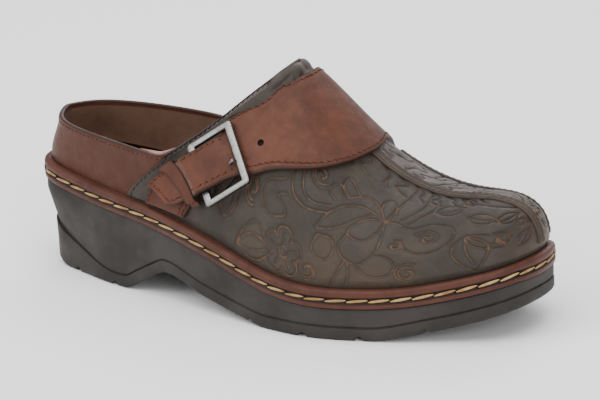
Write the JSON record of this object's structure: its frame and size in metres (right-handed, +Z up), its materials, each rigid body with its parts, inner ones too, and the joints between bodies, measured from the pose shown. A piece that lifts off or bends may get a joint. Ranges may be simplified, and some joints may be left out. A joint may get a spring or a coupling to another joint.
{
  "type": "buckled leather clog with a closed low back",
  "caption": "Right-foot leather clog with a low back, hollow tooled-leather upper, wide buckled instep strap, stitched welt and moulded heeled sole.",
  "frame": {"origin": "centre of the shoe's bounding box in plan, on the floor plane that heel and forefoot stand on", "axes": "+X from heel to toe, +Y towards the inner side of the foot, +Z up"},
  "size_m": [0.263, 0.1011, 0.1116],
  "materials": {
    "moulded_sole": "dark grey-brown, matt moulded polyurethane",
    "welt_leather": "brown leather with thick tan stitches",
    "insole_leather": "brown leather footbed",
    "vamp_leather": "dark oiled leather with floral tooling",
    "strap_leather": "warm brown oiled leather",
    "seam_leather": "dark brown raised seam",
    "buckle_metal": "brushed silver metal"
  },
  "bodies": {
    "root": {"sole": "moulded_sole", "welt": "welt_leather", "insole": "insole_leather", "upper": "vamp_leather", "instep_strap": "strap_leather", "buckle_anchor": "strap_leather", "strap_keeper": "strap_leather", "buckle_frame": "buckle_metal", "buckle_prong": "buckle_metal", "seam_lateral": "seam_leather", "seam_medial": "seam_leather"}
  },
  "joints": []
}
